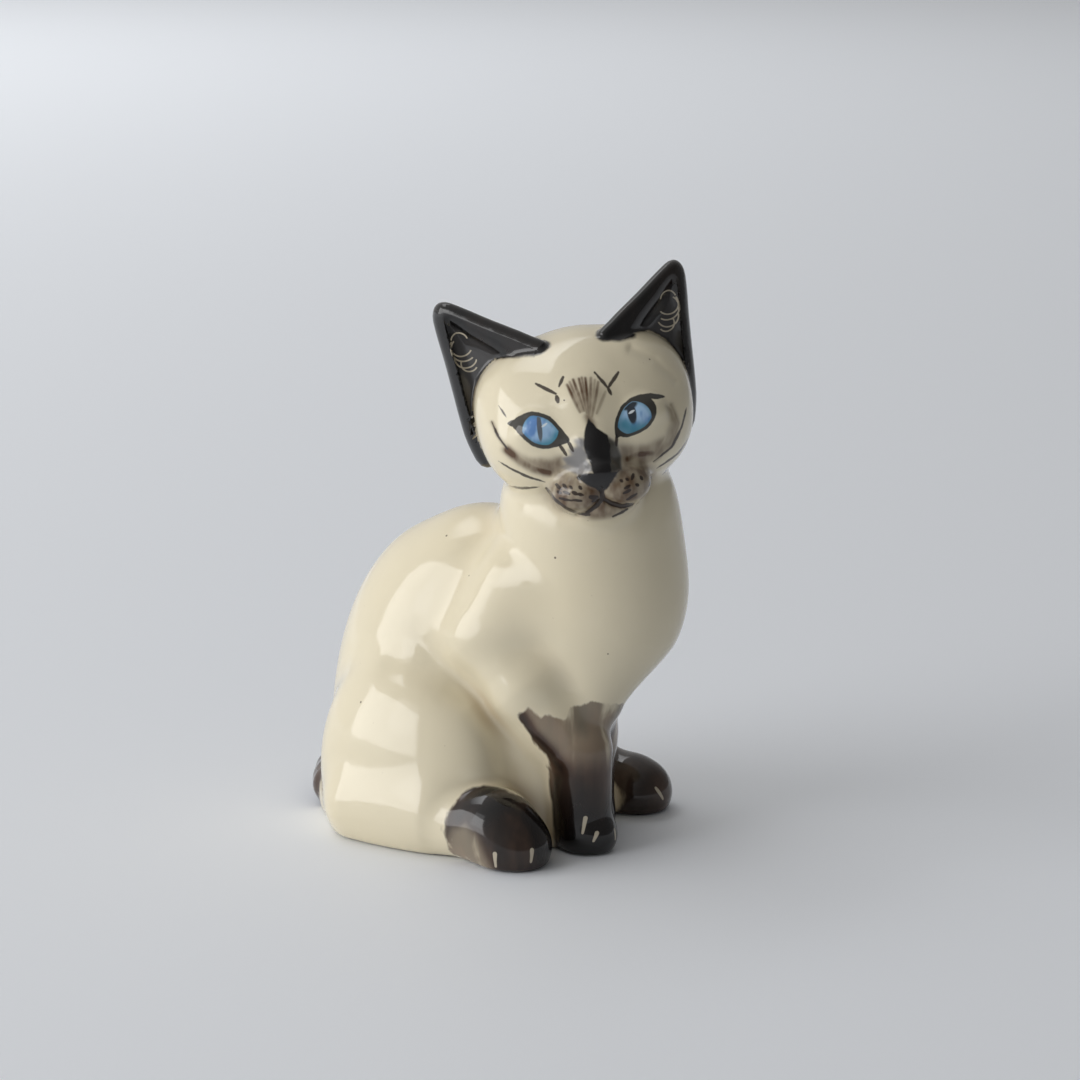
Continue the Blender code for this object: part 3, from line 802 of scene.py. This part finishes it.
def paint(mesh, name, normals):
    """Store the decoration as attributes on one piece whose vertices are still in millimetres."""
    count = len(mesh.vertices)
    p = np.empty(count * 3)
    mesh.vertices.foreach_get("co", p)
    p = p.reshape(-1, 3) / MM
    # the third mask is the painted grey sheen in the ear cups
    coat, thin, cup_sheen, scratch = coat_paint(p, name)
    # the last mask holds the glaze pooling and the painted shade in creases
    masks = {"coat": coat, "thin": thin, "cup_sheen": cup_sheen, "scratch": scratch, "pool_and_crease_shade": crease(p, normals)}
    if name == "head":
        masks.update(face_paint(p))
    for mask, values in masks.items():
        layer = mesh.attributes.new(mask, "FLOAT", "POINT")
        layer.data.foreach_set("value", np.clip(values, -5, 5).astype(np.float32))


# ---- the glaze ----

class Nodes:
    """Small helpers for wiring one material."""

    def __init__(self, material):
        material.use_nodes = True
        self.tree = material.node_tree
        self.shader = self.tree.nodes["Principled BSDF"]

    def wire(self, source, socket):
        if isinstance(source, (int, float)):
            socket.default_value = source
        elif isinstance(source, tuple):
            socket.default_value = (*source, 1) if len(source) == 3 and socket.type == "RGBA" else source
        else:
            self.tree.links.new(source, socket)

    def attribute(self, name):
        node = self.tree.nodes.new("ShaderNodeAttribute")
        node.attribute_name = name
        return node.outputs["Fac"]

    def math(self, operation, a, b=0.0, clamp=False):
        node = self.tree.nodes.new("ShaderNodeMath")
        node.operation = operation
        node.use_clamp = clamp
        self.wire(a, node.inputs[0])
        self.wire(b, node.inputs[1])
        return node.outputs["Value"]

    def ramp(self, value, low, high, to_low=0.0, to_high=1.0):
        node = self.tree.nodes.new("ShaderNodeMapRange")
        node.interpolation_type = "SMOOTHSTEP"
        ends = {"From Min": low, "From Max": high, "To Min": to_low, "To Max": to_high}
        for name, number in ends.items():
            node.inputs[name].default_value = number
        self.wire(value, node.inputs["Value"])
        return node.outputs["Result"]

    def mix(self, factor, a, b):
        node = self.tree.nodes.new("ShaderNodeMix")
        node.data_type = "RGBA"
        self.wire(factor, node.inputs["Factor"])
        self.wire(a, node.inputs[6])
        self.wire(b, node.inputs[7])
        return node.outputs[2]

    def noise(self, scale, detail=2.0, stretch=(1, 1, 1)):
        coords = self.tree.nodes.new("ShaderNodeTexCoord")
        mapping = self.tree.nodes.new("ShaderNodeMapping")
        mapping.inputs["Scale"].default_value = stretch
        self.wire(coords.outputs["Object"], mapping.inputs["Vector"])
        node = self.tree.nodes.new("ShaderNodeTexNoise")
        node.inputs["Scale"].default_value = scale
        node.inputs["Detail"].default_value = detail
        self.wire(mapping.outputs["Vector"], node.inputs["Vector"])
        return node.outputs["Fac"]

    def specks(self, scale, radius, share):
        """Sparse round specks: 1 inside a speck."""
        coords = self.tree.nodes.new("ShaderNodeTexCoord")
        node = self.tree.nodes.new("ShaderNodeTexVoronoi")
        node.inputs["Scale"].default_value = scale
        self.wire(coords.outputs["Object"], node.inputs["Vector"])
        split = self.tree.nodes.new("ShaderNodeSeparateColor")
        self.wire(node.outputs["Color"], split.inputs["Color"])
        spot = self.ramp(node.outputs["Distance"], radius * 0.6, radius, 1.0, 0.0)
        chosen = self.ramp(split.outputs["Red"], 1 - share, 1 - share + 0.01)
        return self.math("MULTIPLY", spot, chosen)


CREAM = (0.74, 0.665, 0.49)
WARM_CREAM = (0.67, 0.58, 0.39)
# warm dark cream for creases: pooled glaze, with painted crease shade
POOLED_AND_SHADED = (0.46, 0.35, 0.21)
WASH = (0.080, 0.036, 0.012)
SEAL_BLACK = (0.003, 0.0026, 0.0025)
SEAL_BROWN = (0.042, 0.024, 0.016)
SEAL_THIN = (0.185, 0.100, 0.062)
# grey for the painted sheen in the ear cups
EAR_CUP_SHEEN = (0.052, 0.050, 0.050)
LINE = (0.016, 0.007, 0.004)
LINER = (0.014, 0.014, 0.013)
# grey for the painted reflection on the lit side of the nose bridge; near black for the painted shade on
# its far side
BRIDGE_SHEEN_GREY = (0.155, 0.155, 0.165)
SHADED_PLANE = (0.010, 0.010, 0.010)
IRIS_BLUE = (0.12, 0.25, 0.52)
IRIS_PALE = (0.36, 0.54, 0.74)
IRIS_TEAL = (0.035, 0.22, 0.31)
NOSE_BLACK = (0.006, 0.005, 0.005)
PUPIL_BLACK = (0.012, 0.012, 0.013)
PUPIL_GREY = (0.10, 0.11, 0.12)
GLINT = (0.75, 0.80, 0.82)
SCRATCHED = (0.62, 0.55, 0.42)
SPECK = (0.10, 0.065, 0.04)
FAINT_SPECK = (0.30, 0.22, 0.13)
FLOOR_PAPER = (0.83, 0.855, 0.895)


def body_colour(n):
    """The cream body under its clear glaze, warmer and darker in creases, where the glaze pools and where
    shade is painted in.
    """
    patches = n.ramp(n.noise(28, 3), 0.35, 0.75)
    colour = n.mix(n.math("MULTIPLY", patches, 0.28), CREAM, WARM_CREAM)
    # darker, warmer colour in hollows: glaze pooling and painted shade in the creases
    pool_and_crease_shade = n.ramp(n.attribute("pool_and_crease_shade"), 0.2, 1.0, 0.0, 0.62)
    colour = n.mix(pool_and_crease_shade, colour, POOLED_AND_SHADED)
    colour = n.mix(n.math("MULTIPLY", n.specks(150, 0.055, 0.35), 0.85), colour, SPECK)
    return n.mix(n.math("MULTIPLY", n.specks(420, 0.07, 0.12), 0.35), colour, FAINT_SPECK)


def seal_colour(n):
    """Brushed underglaze: near black, breaking to brown and pink-brown along the strokes, with a painted
    grey sheen in the ear cups.
    """
    streaks = n.noise(120, 3, (1.0, 1.0, 0.22))
    clouds = n.noise(55, 2)
    brown = n.ramp(n.attribute("thin"), 0, 0.25, 0.25, 1.0)
    brown = n.math("MULTIPLY", n.ramp(streaks, 0.44, 0.68), brown)
    colour = n.mix(brown, SEAL_BLACK, SEAL_BROWN)
    patchy = n.ramp(n.math("ADD", clouds, streaks), 0.70, 1.15, 0.25, 1.0)
    thin = n.math("MULTIPLY", n.attribute("thin"), patchy)
    colour = n.mix(thin, colour, SEAL_THIN)
    # painted sheen in the ear cups, patchy
    cup_sheen = n.math("MULTIPLY", n.attribute("cup_sheen"), n.ramp(clouds, 0.2, 0.65, 0.45, 1.0))
    return n.mix(cup_sheen, colour, EAR_CUP_SHEEN)


def iris_colour(n):
    """Mottled blue, teal toward the nose and round the rim."""
    blue = n.mix(n.ramp(n.noise(330, 2, (1, 1, 0.5)), 0.42, 0.60), IRIS_BLUE, IRIS_PALE)
    blue = n.mix(n.math("MULTIPLY", n.attribute("teal"), 0.88), blue, IRIS_TEAL)
    return n.mix(n.ramp(n.attribute("iris"), -1.0, -0.1, 0, 0.4), blue, IRIS_TEAL)


def face_colour(n, colour):
    """The painted face over the body colour: washes, the painted reflection and shade on the sides of the
    nose bridge, nose, strokes and eyes, in that order.
    """
    grain = n.noise(330, 2, (1, 1, 0.5))
    wash = n.math("MULTIPLY", n.attribute("wash"), n.ramp(grain, 0.25, 0.7, 0.75, 1.25))
    colour = n.mix(wash, colour, WASH)
    # painted reflection and painted shade on the two sides of the nose bridge
    bridge_sheen_and_shade = n.mix(n.attribute("shade"), BRIDGE_SHEEN_GREY, SHADED_PLANE)
    colour = n.mix(n.math("MULTIPLY", n.attribute("bridge_sheen_and_shade"), 0.92), colour, bridge_sheen_and_shade)
    wobble = n.math("MULTIPLY", n.math("SUBTRACT", n.noise(500, 2), 0.5), 0.5)
    nose = n.math("ADD", n.attribute("black"), n.math("MULTIPLY", wobble, 1.6))
    colour = n.mix(n.ramp(nose, -0.25, 0.25, 1, 0), colour, NOSE_BLACK)
    line = n.math("ADD", n.attribute("line"), wobble)
    colour = n.mix(n.ramp(line, -0.12, 0.14, 0.93, 0), colour, LINE)
    liner = n.math("ADD", n.attribute("liner"), wobble)
    colour = n.mix(n.ramp(liner, -0.12, 0.14, 0.96, 0), colour, LINER)
    colour = n.mix(n.ramp(n.attribute("iris"), -0.18, 0.1, 1, 0), colour, iris_colour(n))
    inside = n.ramp(n.attribute("iris"), -0.3, 0.0, 1, 0)
    pupil = n.math("MULTIPLY", n.ramp(n.attribute("pupil"), -0.2, 0.15, 0.95, 0), inside)
    colour = n.mix(pupil, colour, n.mix(n.attribute("grey_pupil"), PUPIL_BLACK, PUPIL_GREY))
    return n.mix(n.ramp(n.attribute("glint"), -0.08, 0.08, 0.9, 0), colour, GLINT)


def seal_cover(n):
    """How far the seal-brown paint hides the cream: ragged at its edge, worn where it is thin."""
    ragged = n.math("MULTIPLY", n.math("SUBTRACT", n.noise(260, 3, (1, 1, 0.4)), 0.5), 3.2)
    ragged = n.math("MULTIPLY", ragged, n.ramp(n.attribute("thin"), 0, 0.6, 0.35, 1.6))
    covered = n.ramp(n.math("ADD", n.attribute("coat"), ragged), -0.45, 0.45, 1, 0)
    streaks = n.ramp(n.noise(170, 3, (1, 1, 0.18)), 0.45, 0.7)
    worn = n.math("MULTIPLY", n.ramp(n.attribute("thin"), 0.35, 0.85), n.ramp(streaks, 0, 1, 0.25, 0.92))
    return n.math("MULTIPLY", covered, n.math("SUBTRACT", 1.0, worn))


def clear_glaze(n):
    """A glossy coat over a dull body, very slightly uneven."""
    settings = {"Roughness": 0.45, "Specular IOR Level": 0.08, "Coat Weight": 1.0,
                "Coat Roughness": 0.085, "Coat IOR": 1.5}
    for name, value in settings.items():
        n.shader.inputs[name].default_value = value
    bump = n.tree.nodes.new("ShaderNodeBump")
    bump.inputs["Strength"].default_value = 0.25
    bump.inputs["Distance"].default_value = 0.0006
    n.wire(n.noise(95, 2), bump.inputs["Height"])
    n.wire(bump.outputs["Normal"], n.shader.inputs["Coat Normal"])


def glaze_material(name, with_face):
    material = bpy.data.materials.new(name)
    n = Nodes(material)
    colour = body_colour(n)
    if with_face:
        colour = face_colour(n, colour)
    colour = n.mix(seal_cover(n), colour, seal_colour(n))
    colour = n.mix(n.ramp(n.attribute("scratch"), -0.06, 0.10, 0.8, 0), colour, SCRATCHED)
    n.wire(colour, n.shader.inputs["Base Color"])
    clear_glaze(n)
    return material


# ---- stage: floor, light and camera ----

def aimed(obj, target):
    obj.rotation_mode = "QUATERNION"
    obj.rotation_quaternion = (Vector(target) - obj.location).to_track_quat("-Z", "Y")


def soft_light(name, location, target, size, power, color):
    data = bpy.data.lights.new(name, "AREA")
    data.shape = "RECTANGLE"
    data.size, data.size_y = size
    data.energy = power
    data.color = color
    obj = bpy.data.objects.new(name, data)
    obj.location = location
    bpy.context.scene.collection.objects.link(obj)
    aimed(obj, target)
    return obj


def build_stage():
    """A plain pale floor under a pale room."""
    mesh = bpy.data.meshes.new("floor")
    form = bmesh.new()
    bmesh.ops.create_circle(form, cap_ends=True, segments=96, radius=12)
    form.to_mesh(mesh)
    form.free()
    floor = bpy.data.objects.new("floor", mesh)
    floor.location.z = CAD_BOX[0][2] - 0.0001
    bpy.context.scene.collection.objects.link(floor)
    paper = bpy.data.materials.new("floor_paper")
    paper.use_nodes = True
    shader = paper.node_tree.nodes["Principled BSDF"]
    shader.inputs["Base Color"].default_value = (*FLOOR_PAPER, 1)
    shader.inputs["Roughness"].default_value = 0.6
    mesh.materials.append(paper)
    bpy.context.scene.world = room()


def room():
    """A pale room, brighter on the side of the window than on the other."""
    world = bpy.data.worlds.new("studio")
    world.use_nodes = True
    tree = world.node_tree
    right, back = view_axes()
    toward = (-right * 0.8 - Vector((back.x, back.y, 0)) * 0.3 + Vector((0, 0, 0.35))).normalized()
    coords = tree.nodes.new("ShaderNodeTexCoord")
    dot = tree.nodes.new("ShaderNodeVectorMath")
    dot.operation = "DOT_PRODUCT"
    dot.inputs[1].default_value = toward
    tree.links.new(coords.outputs["Generated"], dot.inputs[0])
    ramp = tree.nodes.new("ShaderNodeMapRange")
    ramp.interpolation_type = "SMOOTHSTEP"
    for name, value in (("From Min", -0.5), ("From Max", 0.95), ("To Min", 0.16), ("To Max", 0.62)):
        ramp.inputs[name].default_value = value
    tree.links.new(dot.outputs["Value"], ramp.inputs["Value"])
    background = tree.nodes["Background"]
    background.inputs["Color"].default_value = (0.99, 0.985, 0.98, 1)
    tree.links.new(ramp.outputs["Result"], background.inputs["Strength"])
    return world


CAMERA_AZIMUTH = -56.0
CAMERA_ELEVATION = 12.5
CAMERA_DISTANCE = 0.8
CAMERA_TARGET = Vector((0, -0.0213, 0.0745))
SENSOR_WIDTH = 36.0
FRAME_WIDTH = 0.27      # how much of the scene the frame spans at the target


def view_axes():
    """The camera's right, and the way back from the target to the camera."""
    a, e = math.radians(CAMERA_AZIMUTH), math.radians(CAMERA_ELEVATION)
    back = Vector((math.sin(a) * math.cos(e), -math.cos(a) * math.cos(e), math.sin(e)))
    right = Vector((math.cos(a), math.sin(a), 0))
    return right, back


def build_camera():
    back = view_axes()[1]
    data = bpy.data.cameras.new("camera")
    data.sensor_width = SENSOR_WIDTH
    data.lens = SENSOR_WIDTH * CAMERA_DISTANCE / FRAME_WIDTH
    data.clip_end = 50
    camera = bpy.data.objects.new("camera", data)
    camera.location = CAMERA_TARGET + back * CAMERA_DISTANCE
    bpy.context.scene.collection.objects.link(camera)
    aimed(camera, CAMERA_TARGET)
    bpy.context.scene.camera = camera


def build_lights():
    right, back = view_axes()
    level = Vector((back.x, back.y, 0)).normalized()
    up = Vector((0, 0, 1))
    target = CAMERA_TARGET
    key = target - right * 1.85 + level * 0.65 + up * 0.42
    soft_light("key", key, target, (1.9, 1.5), 27, (0.985, 0.985, 0.99))
    second = target - right * 1.55 + level * 1.05 + up * 0.85
    soft_light("second_window", second, target, (0.7, 1.2), 2.5, (0.985, 0.99, 1.0))
    behind = target - level * 2.6 - right * 2.6 + up * 3.6
    lamp = soft_light("backdrop", behind, behind - up, (4.0, 4.0), 66, (0.97, 0.985, 1.0))
    lamp.data.spread = math.radians(90)


def main():
    pieces = build_skin()
    plain = glaze_material("painted_glaze", False)
    face = glaze_material("painted_face_glaze", True)
    for name, obj in pieces.items():
        obj.data.materials.append(face if name == "head" else plain)
    build_stage()
    build_camera()
    build_lights()
    bpy.context.scene.view_settings.view_transform = "Standard"


main()
